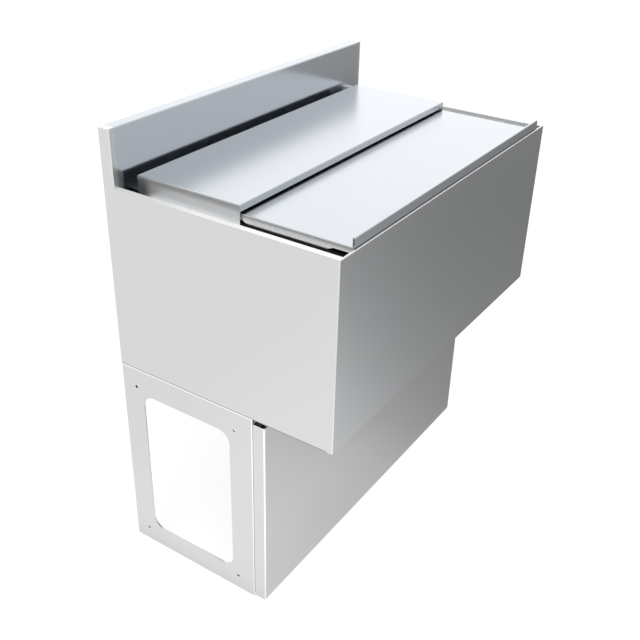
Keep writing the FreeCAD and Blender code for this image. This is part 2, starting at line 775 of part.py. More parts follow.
# False bottom: a perforated plate on the clips, stiffened by two turned-down edges.
falseBottom = newBody("false_bottom")
plate = newSketch(falseBottom, "falseBottomPlate", "XY_Plane", "restTop")
roundedRectangle(
    plate,
    "-mouthSide + platePlay", "binRight - platePlay",
    "mouthFront + platePlay", "mouthRear - platePlay",
    "binCorner",
)
pad(falseBottom, plate, "plateGauge")
edges = newSketch(falseBottom, "falseBottomEdges", "XY_Plane", "restTop + plateGauge")
edgeEnds = ("-mouthSide + platePlay + binCorner", "binRight - platePlay - binCorner")
rectangle(edges, *edgeEnds, "mouthFront + platePlay", "mouthFront + platePlay + plateGauge")
rectangle(edges, *edgeEnds, "mouthRear - platePlay - plateGauge", "mouthRear - platePlay")
pad(falseBottom, edges, "plateLip", reverse=True)
slotRows = 7
slotColumns = 3
column = newSketch(falseBottom, "falseBottomColumn", "XY_Plane", "restTop + plateGauge + 1")
for row in range(slotRows):
    step = f"{row} * (mouthRear - mouthFront - 2 * plateMargin) / {slotRows - 1}"
    middle = f"mouthFront + plateMargin + {step}"
    rectangle(
        column,
        "-mouthSide + plateMargin", "-mouthSide + plateMargin + plateSlotLength",
        f"{middle} - plateSlotWidth / 2", f"{middle} + plateSlotWidth / 2",
    )
columnPocket = pocket(falseBottom, column, "plateGauge + 2")
grid = falseBottom.newObject("PartDesign::LinearPattern", "falseBottomGrid")
grid.Originals = [columnPocket]
grid.Direction = (column, ["H_Axis"])
bind(grid, "Length", "plateSlots - plateSlotLength")
grid.Occurrences = slotColumns
falseBottom.Tip = grid
doc.recompute()


def drain(label, place, bore, spout, thread, spoutLength, flange, flangeHeight):
    # Turned about its own axis, with the floor that its flange lies on at zero height.
    body = newBody(label, *place)
    profile = newSketch(body, label + "Profile", "XZ_Plane")
    polygon(profile, [
        (bore, f"-{spoutLength}"),
        (spout, f"-{spoutLength}"),
        (spout, "-threadLength"),
        (thread, "-threadLength"),
        (thread, "0"),
        (flange, "0"),
        (flange, flangeHeight),
        (bore, flangeHeight),
    ])
    revolve(body, profile)


def lockNut(label, place, thread, flat):
    # Hexagon nut under the floor that draws the drain down on its seat.
    body = newBody(label, *place)
    nut = newSketch(body, label + "Nut", "XY_Plane", "-gauge")
    hexagon(nut, "0", "0", flat)
    circle(nut, "0", "0", f"{thread} + threadPlay")
    pad(body, nut, "nutHeight", reverse=True)


icePlace = ("binMiddle", "mouthMiddle", "binFloor")
drain(
    "ice_drain_body", icePlace, "iceBore", "iceSpout", "iceThread", "iceSpoutLength",
    "iceFlange", "iceFlangeHeight",
)
lockNut("ice_drain_nut", icePlace, "iceThread", "iceNutFlat")

sinkPlace = ("bowlMiddle", "drainPlace", "bowlFloor")
drain(
    "sink_drain_body", sinkPlace, "sinkBore", "sinkSpout", "sinkThread", "sinkSpoutLength",
    "sinkFlange", "sinkFlangeHeight",
)
lockNut("sink_drain_nut", sinkPlace, "sinkThread", "sinkNutFlat")

# Overflow standpipe: its plug sits in the sink's drain and its collar on the drain's flange.
pipe = newBody("overflow_standpipe", *sinkPlace)
pipeTop = "ledge - bowlFloor - pipeBelowLedge"
profile = newSketch(pipe, "pipeProfile", "XZ_Plane")
polygon(profile, [
    ("pipeRadius - pipeWall", "sinkFlangeHeight - pipePlug"),
    ("pipeRadius", "sinkFlangeHeight - pipePlug"),
    ("pipeRadius", "sinkFlangeHeight"),
    ("pipeCollar", "sinkFlangeHeight"),
    ("pipeCollar", "sinkFlangeHeight + pipeCollarHeight"),
    ("pipeRadius", "sinkFlangeHeight + pipeCollarHeight"),
    ("pipeRadius", pipeTop),
    ("pipeRadius - pipeWall", pipeTop),
])
revolve(pipe, profile)
notch = newSketch(pipe, "pipeNotchForm", "XZ_Plane", "-pipeCollar - 1")
rectangle(
    notch,
    "-pipeNotch / 2", "pipeNotch / 2",
    f"{pipeTop} - pipeNotchDepth", f"{pipeTop} + 1",
)
notchPocket = pocket(pipe, notch, "pipeCollar + 1", reverse=True)
ring = pipe.newObject("PartDesign::PolarPattern", "pipeNotchRing")
ring.Originals = [notchPocket]
ring.Axis = (profile, ["V_Axis"])
ring.Angle = 360
ring.Occurrences = 4
pipe.Tip = ring
doc.recompute()

# Left base side frame: a flanged pan on the floor with a round-cornered window.
baseSide = newBody("base_side_left")
block = newSketch(baseSide, "baseSideBlock", "YZ_Plane", "-half")
rectangle(block, "baseFront", "rear", "0", "bodyBottom")
pad(baseSide, block, "baseFlange")
fillet(baseSide, "baseSideBends", "baseBend", lambda spot: near(spot.x, "-half"))
shell(baseSide, "baseSideSheet", "baseGauge", lambda box: near(box.XMin, "-half + baseFlange"))
window = newSketch(baseSide, "baseSideWindow", "YZ_Plane", "-half - 1")
roundedRectangle(
    window,
    "baseFront + windowMargin", "rear - windowMargin",
    "windowFloor", "bodyBottom - windowTop",
    "windowCorner",
)
for place in ("rear - gangRear", "baseFront + gangFront"):
    circle(window, place, "gangLow", "gangHole")
    circle(window, place, "bodyBottom - gangTop", "gangHole")
pocket(baseSide, window, "baseGauge + 2", reverse=True)
mirrored("base_side_right", baseSide)


def tieRail(label, low, high, openFace):
    # Channel under the top flanges of the side frames, with its open side inwards.
    body = newBody(label)
    block = newSketch(body, label + "Block", "XY_Plane", "baseTop")
    ends = "half - baseGauge - tieEndGap"
    rectangle(block, f"-({ends})", ends, low, high)
    pad(body, block, "tieHeight", reverse=True)
    shut = high if openFace == low else low
    fillet(body, label + "Bends", "baseBend", lambda spot: (
        near(spot.y, shut) and (near(spot.z, "baseTop") or near(spot.z, "baseTop - tieHeight"))
    ))
    shell(body, label + "Sheet", "baseGauge", lambda box: (
        near(abs(box.XMin), ends) and near(abs(box.XMax), ends) and box.XLength < 1
        or near(box.YMin, openFace) and near(box.YMax, openFace)
    ))
    return body


tieRail("base_tie_front", "baseFront + baseGauge", "baseFront + baseGauge + tieDepth",
        "baseFront + baseGauge + tieDepth")
tieRail("base_tie_rear", "rear - baseGauge - tieDepth", "rear - baseGauge",
        "rear - baseGauge - tieDepth")

# Kick panel: a shallow pan between floor and body, flush with the side frames.
kick = newBody("kick_panel")
block = newSketch(kick, "kickBlock", "XY_Plane", "kickFloor")
rectangle(block, "-half", "half", "kickFront", "kickRear")
pad(kick, block, "kickTop - kickFloor")
fillet(kick, "kickBends", "baseBend", lambda spot: near(spot.y, "kickFront"))
shell(kick, "kickSheet", "gauge", lambda box: near(box.YMin, "kickRear"))

# Left hanger strip: welded in the kick panel's open back, with two slots for the hooks.
hanger = newBody("kick_hanger_left")
strip = newSketch(hanger, "hangerStrip", "XZ_Plane", "-kickRear")
rectangle(
    strip,
    "-half + gauge", "-half + gauge + hangerWidth",
    "kickFloor + hangerMargin", "kickTop - hangerMargin",
)
for height in ("hookLow", "hookHigh"):
    rectangle(
        strip,
        "-hookPlace - slotSpan", "-hookPlace + slotSpan",
        f"{height} - kickLift - 2 * hookGauge", height,
    )
pad(hanger, strip, "gauge")
mirrored("kick_hanger_right", hanger)

# Left hooks: tabs on the frame's front flange that the slots of the hanger strip drop over.
hooks = newBody("kick_hooks_left")
hooks.AllowCompound = True
hookForm = newSketch(hooks, "hookForm", "YZ_Plane", "-hookPlace")
tipRear = "kickRear - gauge - hookPlay"
for height in ("hookLow", "hookHigh"):
    polygon(hookForm, [
        ("baseFront", f"{height} - hookGauge"),
        ("baseFront", height),
        (tipRear, height),
        (tipRear, f"{height} + hookTip"),
        (f"{tipRear} - hookGauge", f"{height} + hookTip"),
        (f"{tipRear} - hookGauge", f"{height} - hookGauge"),
    ])
pad(hooks, hookForm, "hookWidth", side="Symmetric")
mirrored("kick_hooks_right", hooks)

nodes = [
    "front_panel", "side_panel_left", "side_panel_right", "backsplash", "rear_panel",
    "bottom_pan", "deck_rim", "cover_rail_left", "cover_rail_right", "front_cover",
    "rear_cover", "ice_bin_liner", "ice_bin_insulation", "bin_rest_clips", "false_bottom",
    "ice_drain_body", "ice_drain_nut", "sink_bowl", "sink_drain_body", "sink_drain_nut",
    "overflow_standpipe", "base_side_left", "base_side_right", "base_tie_front",
    "base_tie_rear", "kick_panel", "kick_hanger_left", "kick_hanger_right",
    "kick_hooks_left", "kick_hooks_right",
]

doc.recompute()
for item in doc.Objects:
    if "Invalid" in item.State or "Error" in item.State:
        raise ValueError(f"{item.Name} failed to build")

os.makedirs("parts", exist_ok=True)
for node in nodes:
    shape = doc.getObjectsByLabel(node)[0].Shape
    if shape.isNull() or not shape.isValid() or not shape.Solids:
        raise ValueError(f"{node} is not a valid solid")
    shape.exportStep(f"parts/{node}.step")
    print(node, len(shape.Solids), round(shape.Volume / 1000, 1), "cm3")
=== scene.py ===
import json
import math
import bpy
from mathutils import Matrix, Vector


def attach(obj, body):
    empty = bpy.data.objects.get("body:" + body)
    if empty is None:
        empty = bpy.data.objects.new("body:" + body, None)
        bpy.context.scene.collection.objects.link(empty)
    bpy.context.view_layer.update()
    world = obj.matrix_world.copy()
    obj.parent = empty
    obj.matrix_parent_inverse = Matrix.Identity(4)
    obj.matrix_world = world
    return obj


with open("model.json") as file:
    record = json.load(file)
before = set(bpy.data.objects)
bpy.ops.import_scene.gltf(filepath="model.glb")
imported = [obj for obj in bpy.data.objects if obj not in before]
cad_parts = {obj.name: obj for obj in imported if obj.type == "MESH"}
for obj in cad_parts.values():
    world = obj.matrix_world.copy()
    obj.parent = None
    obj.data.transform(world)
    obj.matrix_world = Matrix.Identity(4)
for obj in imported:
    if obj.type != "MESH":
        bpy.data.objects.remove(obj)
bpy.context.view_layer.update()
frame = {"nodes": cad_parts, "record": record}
nodes = frame["nodes"]
print("frame:", len(nodes), "nodes")

mounts = {mount["name"]: mount for mount in frame["record"]["mounts"]}
millimetre = 0.001


def reach(node, axis):
    # The lowest and the highest place of a CAD node along x, y or z.
    places = [vertex.co["xyz".index(axis)] for vertex in nodes[node].data.vertices]
    return min(places), max(places)


class Wire:
    # A value, colour or vector on its way through one node tree.
    def __init__(self, tree, socket=None):
        self.tree = tree
        self.socket = socket

    def node(self, kind, settings=None, values=None, output=0):
        # Adds any node: its settings first, then what its sockets hold or are linked to.
        made = self.tree.nodes.new(kind)
        for key, value in (settings or {}).items():
            if key == "stops":
                marks = made.color_ramp.elements
                for place, colour in value[1:-1]:
                    marks.new(place)
                for mark, (place, colour) in zip(marks, value):
                    mark.color = colour
            else:
                setattr(made, key, value)
        for key, value in (values or {}).items():
            if isinstance(value, Wire):
                self.tree.links.new(value.socket, made.inputs[key])
            else:
                made.inputs[key].default_value = value
        return Wire(self.tree, made.outputs[output])

    def math(self, operation, first, second=None):
        values = {0: first} if second is None else {0: first, 1: second}
        return self.node("ShaderNodeMath", {"operation": operation}, values)

    def __add__(self, other):
        return self.math("ADD", self, other)

    def __radd__(self, other):
        return self.math("ADD", other, self)

    def __sub__(self, other):
        return self.math("SUBTRACT", self, other)

    def __rsub__(self, other):
        return self.math("SUBTRACT", other, self)

    def __mul__(self, other):
        return self.math("MULTIPLY", self, other)

    def __rmul__(self, other):
        return self.math("MULTIPLY", other, self)

    def __truediv__(self, other):
        return self.math("DIVIDE", self, other)

    def __rtruediv__(self, other):
        return self.math("DIVIDE", other, self)

    def size(self):
        return self.math("ABSOLUTE", self)

    def atLeast(self, other):
        return self.math("MAXIMUM", self, other)

    def atMost(self, other):
        return self.math("MINIMUM", self, other)

    def ease(self, start, end):
        # 0 before start, 1 after end, smooth between; start may be the larger one.
        return self.node(
            "ShaderNodeMapRange", {"interpolation_type": "SMOOTHSTEP"},
            {"Value": self, "From Min": start, "From Max": end},
        )

    def parts(self):
        split = self.node("ShaderNodeSeparateXYZ", None, {0: self}).socket.node
        return [Wire(self.tree, part) for part in split.outputs]

    def blend(self, first, second):
        # Colour mix by this value.
        return self.node("ShaderNodeMix", {"data_type": "RGBA"}, {0: self, 6: first, 7: second}, 2)

    def into(self, shader, socket):
        self.tree.links.new(self.socket, shader.inputs[socket])


def grey(level):
    return (level, level, level, 1)


def noise(tree, scale, detail=2.0, roughness=0.5):
    start = Wire(tree)
    place = start.node("ShaderNodeTexCoord", output="Object")
    stretched = start.node("ShaderNodeMapping", None, {"Vector": place, "Scale": scale})
    values = {"Vector": stretched, "Scale": 1.0, "Detail": detail, "Roughness": roughness}
    return start.node("ShaderNodeTexNoise", None, values)


def newMaterial(name):
    made = bpy.data.materials.new(name)
    made.use_nodes = True
    tree = made.node_tree
    return made, tree, tree.nodes["Principled BSDF"]


# how fine the streaks are per metre along X, Y and Z, and what they do to the sheet
brushing = {
    "alongX": (5, 900, 900),
    "alongY": (900, 5, 900),
    "alongZ": (900, 900, 5),
    "detail": 3.0,
    "unevenness": 0.6,
    "cloudScale": (3, 3, 3),
    "cloudDull": 0.04,       # how much rougher the clouds make it
    "darkest": 0.95,         # the darkest streak, as a share of the colour
    "reliefDepth": 0.001,
}

steel = {
    "body": {"colour": (0.68, 0.7, 0.712, 1), "roughness": 0.2, "grain": 0.05, "relief": 0.012},
    "kick": {"colour": (0.7, 0.7, 0.7, 1), "roughness": 0.2, "grain": 0.05, "relief": 0.012},
    "side": {"colour": (0.74, 0.75, 0.742, 1), "roughness": 0.24, "grain": 0.05, "relief": 0.012},
    "cover": {"colour": (0.745, 0.78, 0.825, 1), "roughness": 0.24, "grain": 0.04, "relief": 0.03},
    # painted light: a near-white, less metallic copy of the cover steel for the covers' side skirts
    "skirtPaintedLight": {
        "colour": (0.96, 0.97, 0.98, 1), "roughness": 0.26, "grain": 0.04, "relief": 0.01, "metal": 0.65,
    },
    # painted shade: a darker copy of the cover steel for the covers' front faces
    "frontPaintedShade": {"colour": (0.66, 0.69, 0.725, 1), "roughness": 0.24, "grain": 0.04, "relief": 0.01},
    "splash": {"colour": (0.65, 0.69, 0.73, 1), "roughness": 0.17, "grain": 0.04, "relief": 0.01},
    # painted light: a pale, mostly matt copy of the side steel for the side panels' inward faces and the
    # troughs
    "ledge": {
        "colour": (0.92, 0.925, 0.93, 1), "roughness": 0.45, "grain": 0.05, "relief": 0.012, "metal": 0.2,
    },
    # painted highlight: a near-white, half-matt copy of the steel for the level faces of the body's top rims
    "edge": {
        "colour": (0.94, 0.945, 0.95, 1), "roughness": 0.3, "grain": 0.03, "relief": 0.005, "metal": 0.4,
    },
    # painted highlight: a near-white copy of the steel for the rounded bends of the base sides and kick panel
    "bend": {"colour": (0.98, 0.985, 0.985, 1), "roughness": 0.2, "grain": 0.03, "relief": 0.005},
    "liner": {
        "colour": (0.72, 0.725, 0.73, 1), "roughness": 0.3, "grain": 0.08, "relief": 0.02, "metal": 0.6,
    },
    # painted shade: near-black steel for the hidden inner sheets, so the gaps into the cabinet read as dark
    "innerPaintedShade": {"colour": (0.17, 0.172, 0.175, 1), "roughness": 0.42, "grain": 0.08, "relief": 0.02},
    # painted shade: near-black for the faces inside the base sides' gang holes, so the holes read as dark
    "holePaintedShade": {"colour": (0.1, 0.1, 0.1, 1), "roughness": 0.5, "grain": 0.08, "relief": 0.02},
}

bodyFoot, bodyTop = reach("side_panel_left", "z")[0], reach("front_panel", "z")[1]
skirtFoot, lipTop = reach("front_cover", "z")
rearCoverTop = reach("rear_cover", "z")[1]
rearCoverBack = reach("rear_cover", "y")[1]

paintedShades = {
    # painted shades: an axis, where along it another colour starts and is full, and that colour
    # painted shadow: dark grey over the side panels' lowest two millimetres, for the groove above the base
    "baseSeamShadow": ("z", bodyFoot + 0.0021, bodyFoot + 0.0015, grey(0.34)),
    # painted shade: the side panels' inward faces turn dark grey from 6 to 11 mm above the body's top
    "splashEndShade": ("z", bodyTop + 0.006, bodyTop + 0.011, grey(0.3)),
    # painted shade: the lip turns darker towards its right end, standing in for a darker reflection
    "lipRightShade": ("x", 0.05, 0.34, (0.56, 0.58, 0.605, 1)),
    # painted shadow: a near-black line along the lip's foot, for the gap over the front panel's rim
    "lipFootShadow": ("z", lipTop - 0.0163, lipTop - 0.0169, grey(0.015)),
    # painted shade: the upper part of the front cover's side skirts turns mid grey, standing in for a dark
    # reflection
    "frontSkirtTopShade": ("z", skirtFoot + 0.0064, skirtFoot + 0.0129, grey(0.5)),
    # painted shade: the upper part of the rear cover's side skirts turns dark grey, standing in for a dark
    # reflection
    "rearSkirtTopShade": ("z", rearCoverTop - 0.0162, rearCoverTop - 0.0027, grey(0.36)),
    # painted shade: the rear cover's side skirts turn dark towards their back ends
    "rearSkirtBackShade": ("y", rearCoverBack - 0.035, rearCoverBack - 0.01, grey(0.3)),
}


def streaksOn(tree, axis):
    return noise(tree, brushing[axis], brushing["detail"], brushing["unevenness"])


def giveRelief(shader, height, strength, depth):
    relief = {"Strength": strength, "Distance": depth, "Height": height}
    height.node("ShaderNodeBump", None, relief).into(shader, "Normal")


def brushedSteel(name, finish, axis, *turns):
    # Brushed stainless sheet: long fine streaks along one axis, slight clouds, and painted shades by place.
    look = steel[finish]
    made, tree, shader = newMaterial(name)
    streaks = streaksOn(tree, axis)
    clouds = noise(tree, brushing["cloudScale"])
    dull = tuple(part * brushing["darkest"] for part in look["colour"][:3]) + (1,)
    colour = (streaks * 0.5 + clouds * 0.5).blend(dull, look["colour"])
    # each turn paints shade: the colour blends into a darker one along one axis
    for turn in turns:
        along, start, end, other = paintedShades[turn]
        place = streaks.node("ShaderNodeTexCoord", output="Object").parts()["xyz".index(along)]
        colour = place.ease(start, end).blend(colour, other)
    colour.into(shader, "Base Color")
    smoothest = look["roughness"] - look["grain"] / 2 - brushing["cloudDull"] / 2
    rough = streaks * look["grain"] + clouds * brushing["cloudDull"] + smoothest
    rough.into(shader, "Roughness")
    shader.inputs["Metallic"].default_value = look.get("metal", 1.0)
    giveRelief(shader, streaks, look["relief"], brushing["reliefDepth"])
    return made


# each colour of the deck's sheet is the darkest and the lightest of its streaks
deck = {
    "troughStart": reach("cover_rail_right", "x")[0] + 0.0025,
    "troughEdge": 0.0005,
    # painted shade in the troughs starts and is full at these y
    "back": (0.165, 0.187),  # y where the troughs start to darken and are dark
    "rim": (grey(0.66), (0.7, 0.71, 0.72, 1)),
    # painted light: the troughs' pale colours
    "pale": (grey(0.87), steel["ledge"]["colour"]),
    # painted shade: the troughs' near-black colours at the back
    "dark": (grey(0.045), grey(0.05)),
    "roughness": 0.27,
    "grain": 0.06,
    "troughRougher": 0.13,
    "troughLessMetal": 0.8,
    "relief": 0.02,
}


def deckSheet(name):
    # The deck's rim is brushed steel. The troughs outside the rails get painted light, paler and less
    # metallic, and painted shade at the back.
    made, tree, shader = newMaterial(name)
    x, y = Wire(tree).node("ShaderNodeTexCoord", output="Object").parts()[:2]
    streaks = streaksOn(tree, "alongX")
    trough = x.size().ease(deck["troughStart"] - deck["troughEdge"], deck["troughStart"] + deck["troughEdge"])
    back = y.ease(*deck["back"])
    dull, colour = (
        trough.blend(rim, back.blend(pale, dark))
        for rim, pale, dark in zip(deck["rim"], deck["pale"], deck["dark"])
    )
    streaks.blend(dull, colour).into(shader, "Base Color")
    rough = trough * deck["troughRougher"] + streaks * deck["grain"] + deck["roughness"]
    rough.into(shader, "Roughness")
    (1 - trough * deck["troughLessMetal"]).into(shader, "Metallic")
    giveRelief(shader, streaks, deck["relief"], brushing["reliefDepth"])
    return made


plating = {
    "stainScale": (60, 60, 60),
    "stainDetail": 3.0,
    "dark": (0.66, 0.66, 0.67, 1),
    "light": (0.74, 0.74, 0.75, 1),
    "roughness": 0.16,
    "stainDull": 0.1,
}


def platedMetal(name):
    made, tree, shader = newMaterial(name)
    stains = noise(tree, plating["stainScale"], plating["stainDetail"])
    stains.blend(plating["dark"], plating["light"]).into(shader, "Base Color")
    (stains * plating["stainDull"] + plating["roughness"]).into(shader, "Roughness")
    shader.inputs["Metallic"].default_value = 1.0
    return made


plastics = {
    "flowScale": (40, 40, 12),
    "flowDull": 0.1,
    "pipePlastic": {"dark": grey(0.79), "light": grey(0.86), "roughness": 0.36, "shine": 0.5},
    # black plastic runners, with colour and shine cut further as painted shade for the dark trough under the
    # covers
    "railPlastic": {"dark": grey(0.004), "light": grey(0.008), "roughness": 0.5, "shine": 0.1},
}


def plainPlastic(name):
    look = plastics[name]
    made, tree, shader = newMaterial(name)
    shader.inputs["Specular IOR Level"].default_value = look["shine"]
    flow = noise(tree, plastics["flowScale"])
    flow.blend(look["dark"], look["light"]).into(shader, "Base Color")
    (flow * plastics["flowDull"] + look["roughness"]).into(shader, "Roughness")
    return made


foam = {
    "cellScale": (420, 420, 420),
    "detail": 4.0,
    "unevenness": 0.7,
    "dark": (0.66, 0.6, 0.42, 1),
    "light": (0.84, 0.79, 0.62, 1),
    "roughness": 0.9,
    "relief": 0.4,
    "reliefDepth": 0.0008,
}


def rigidFoam(name):
    made, tree, shader = newMaterial(name)
    cells = noise(tree, foam["cellScale"], foam["detail"], foam["unevenness"])
    cells.blend(foam["dark"], foam["light"]).into(shader, "Base Color")
    shader.inputs["Roughness"].default_value = foam["roughness"]
    giveRelief(shader, cells, foam["relief"], foam["reliefDepth"])
    return made


sheetFinishes = {
    # which steel, which way it is brushed, and its painted shades
    "bodyFront": ("body", "alongX"),
    "bodySide": ("side", "alongY"),
    "sideSheet": ("side", "alongY", "baseSeamShadow"),
    "kickFront": ("kick", "alongX"),
    "splashFace": ("splash", "alongX"),
    "ledgeWall": ("ledge", "alongY", "splashEndShade"),
    "coverTop": ("cover", "alongX"),
    "coverLip": ("frontPaintedShade", "alongX", "lipRightShade", "lipFootShadow"),
    "coverFront": ("frontPaintedShade", "alongX"),
    "frontSkirt": ("skirtPaintedLight", "alongY", "frontSkirtTopShade"),
    "rearSkirt": ("skirtPaintedLight", "alongY", "rearSkirtTopShade", "rearSkirtBackShade"),
    "linerSatin": ("liner", "alongZ"),
    "innerShade": ("innerPaintedShade", "alongX"),
    "rimHighlight": ("edge", "alongX"),
    "bendHighlight": ("bend", "alongY"),
    "holeShade": ("holePaintedShade", "alongX"),
}

finishes = {name: brushedSteel(name, *look) for name, look in sheetFinishes.items()}
finishes["deckSheet"] = deckSheet("deckSheet")
finishes["drainMetal"] = platedMetal("drainMetal")
finishes["pipePlastic"] = plainPlastic("pipePlastic")
finishes["railPlastic"] = plainPlastic("railPlastic")
finishes["rigidFoam"] = rigidFoam("rigidFoam")

nodeFinish = {
    "front_panel": "bodyFront",
    "side_panel_left": "sideSheet",
    "side_panel_right": "sideSheet",
    "backsplash": "splashFace",
    "rear_panel": "bodyFront",
    "bottom_pan": "innerShade",
    "deck_rim": "deckSheet",
    "cover_rail_left": "railPlastic",
    "cover_rail_right": "railPlastic",
    "front_cover": "coverTop",
    "rear_cover": "coverTop",
    "ice_bin_liner": "linerSatin",
    "ice_bin_insulation": "rigidFoam",
    "bin_rest_clips": "linerSatin",
    "false_bottom": "linerSatin",
    "ice_drain_body": "drainMetal",
    "ice_drain_nut": "drainMetal",
    "sink_bowl": "linerSatin",
    "sink_drain_body": "drainMetal",
    "sink_drain_nut": "drainMetal",
    "overflow_standpipe": "pipePlastic",
    "base_side_left": "bodySide",
    "base_side_right": "bodySide",
    "base_tie_front": "innerShade",
    "base_tie_rear": "bodyFront",
    "kick_panel": "kickFront",
    "kick_hanger_left": "innerShade",
    "kick_hanger_right": "innerShade",
    "kick_hooks_left": "innerShade",
    "kick_hooks_right": "innerShade",
}

seams = {
    "bendAngle": math.radians(28),  # two faces that turn less than this are one rounded bend
    "weld": 0.00001,
    "facing": 0.6,           # a normal's share along an axis, from which a face counts as facing that way
    "bend": (0.15, 0.97),    # the same share on the faces of a rounded bend between two sides
    "inward": -0.2,          # x of a normal times x of its face, below which the face looks to the middle
    "level": 0.4,            # z of a normal, above which the face is level or leans only a little
    "rimDepth": 0.007,       # how far below the body's top its folded rim still reaches
    "holeEdge": 0.0005,      # how far outside a hole's radius its cut edge still reaches
}


def dressNode(node, finish):
    # Joins the loose triangles for shading, keeps sheet edges crisp and flat faces flat.
    part = nodes[node]
    part.data.materials.clear()
    part.data.materials.append(finishes[finish])
    for face in part.data.polygons:
        face.use_smooth = True
    weld = part.modifiers.new("weld", "WELD")
    weld.merge_threshold = seams["weld"]
    split = part.modifiers.new("split", "EDGE_SPLIT")
    split.split_angle = seams["bendAngle"]
    part.modifiers.new("flatFaces", "WEIGHTED_NORMAL")


def dressFaces(node, finish, chosen):
    # Gives another finish to those faces of a node that chosen(centre, normal) picks.
    mesh = nodes[node].data
    mesh.materials.append(finishes[finish])
    for face in mesh.polygons:
        if chosen(face.center, face.normal):
            face.material_index = len(mesh.materials) - 1


def gangHoleSpots():
    # The y and z of the four holes, from the mount's middle and spacing.
    mount = mounts["gang_holes_left"]
    _, y, z = mount["pos_m"]
    aside = mount["dims"]["spacing_x_mm"] * millimetre / 2
    above = mount["dims"]["spacing_y_mm"] * millimetre / 2
    return [(y + side * aside, z + level * above) for side in (-1, 1) for level in (-1, 1)]


def facesSideways(centre, normal):
    return abs(normal.x) > seams["facing"]


def facesFront(centre, normal):
    return normal.y < -seams["facing"]


def onBend(centre, normal):
    return seams["bend"][0] < abs(normal.x) < seams["bend"][1]


def inGangHole(centre, normal):
    away = min(math.hypot(centre.y - y, centre.z - z) for y, z in gangHoles)
    radius = mounts["gang_holes_left"]["dims"]["hole_r_mm"] * millimetre
    return away < radius + seams["holeEdge"] and abs(normal.x) < seams["facing"]


def facesInward(centre, normal):
    return normal.x * centre.x < seams["inward"]


def onRim(centre, normal):
    return normal.z > seams["level"] and centre.z > bodyTop - seams["rimDepth"]


gangHoles = gangHoleSpots()

# later rows go over earlier ones
faceFinishes = [
    ("front_panel", "bodySide", facesSideways),
    ("kick_panel", "bodySide", facesSideways),
    ("front_cover", "frontSkirt", facesSideways),
    ("front_cover", "coverLip", facesFront),
    ("rear_cover", "rearSkirt", facesSideways),
    ("rear_cover", "coverFront", facesFront),
    ("base_side_left", "bendHighlight", onBend),
    ("base_side_right", "bendHighlight", onBend),
    ("kick_panel", "bendHighlight", onBend),
    ("base_side_left", "holeShade", inGangHole),
    ("base_side_right", "holeShade", inGangHole),
    # painted light, with painted shade near the top, on the side panels' inward faces
    ("side_panel_left", "ledgeWall", facesInward),
    ("side_panel_right", "ledgeWall", facesInward),
    ("front_panel", "rimHighlight", onRim),
    ("side_panel_left", "rimHighlight", onRim),
    ("side_panel_right", "rimHighlight", onRim),
]

for node, finish in nodeFinish.items():
    dressNode(node, finish)
for node, finish, chosen in faceFinishes:
    dressFaces(node, finish, chosen)
print("finishes:", len(finishes), "on", len(nodeFinish), "nodes")


class Growth:
    # A Geometry Nodes tree whose named inputs are a piece's sizes.
    def __init__(self, name, sizes):
        self.name = name
        self.sizes = sizes
        self.tree = bpy.data.node_groups.new(name, "GeometryNodeTree")
        for label, size in sizes.items():
            kind = "NodeSocketVector" if isinstance(size, tuple) else "NodeSocketFloat"
            if isinstance(size, int):
                kind = "NodeSocketInt"
            self.tree.interface.new_socket(label, in_out="INPUT", socket_type=kind)
        self.tree.interface.new_socket("Geometry", in_out="OUTPUT", socket_type="NodeSocketGeometry")
        self.start = Wire(self.tree)
        given = self.tree.nodes.new("NodeGroupInput")
        self.given = {label: Wire(self.tree, given.outputs[label]) for label in sizes}

    def finish(self, shape, finish, body, slot):
        # Ends the tree, turns what it makes into a plain mesh and parents that to its body's empty.
        real = self.start.node("GeometryNodeRealizeInstances", None, {0: shape})
        values = {"Geometry": real, "Material": finishes[finish]}
        self.start.node("GeometryNodeSetMaterial", None, values).into(
            self.tree.nodes.new("NodeGroupOutput"), 0
        )
        seed = bpy.data.objects.new(self.name + "Seed", bpy.data.meshes.new(self.name + "Seed"))
        bpy.context.scene.collection.objects.link(seed)
        grow = seed.modifiers.new("grow", "NODES")
        grow.node_group = self.tree
        for item in self.tree.interface.items_tree:
            if item.in_out == "INPUT":
                grow[item.identifier] = self.sizes[item.name]
        grown = seed.evaluated_get(bpy.context.evaluated_depsgraph_get())
        mesh = bpy.data.meshes.new_from_object(grown)
        mesh.name = self.name
        bpy.data.objects.remove(seed)
        piece = bpy.data.objects.new(self.name, mesh)
        bpy.context.scene.collection.objects.link(piece)
        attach(piece, body)
        print(self.name + ":", len(mesh.polygons), "faces")


def joined(start, *shapes):
    made = start.tree.nodes.new("GeometryNodeJoinGeometry")
    for shape in reversed(shapes):
        start.tree.links.new(shape.socket, made.inputs[0])
    return Wire(start.tree, made.outputs[0])


def moved(start, shape, place):
    return start.node("GeometryNodeTransform", None, {"Geometry": shape, "Translation": place})


def disc(start, sides, radius, depth, place):
    sizes = {"Vertices": sides, "Radius": radius, "Depth": depth}
    return moved(start, start.node("GeometryNodeMeshCylinder", None, sizes), place)


# hexagon heads with a low round crown, on washers, under the base's top flanges
baseBolts = {
    "Across": 0.734,
    "Apart": 0.219,
    "Middle": (0.0, 0.0795, reach("base_side_left", "z")[1] - 0.002),
    "Head Radius": 0.0075,
    "Head Height": 0.0053,
    "Washer Radius": 0.0085,
    "Washer Thickness": 0.0016,
    "Crown Height": 0.000742,
    "Crown Top Radius": 0.006375,
    "Crown Foot Radius": 0.0054,
}
roundSides = 32


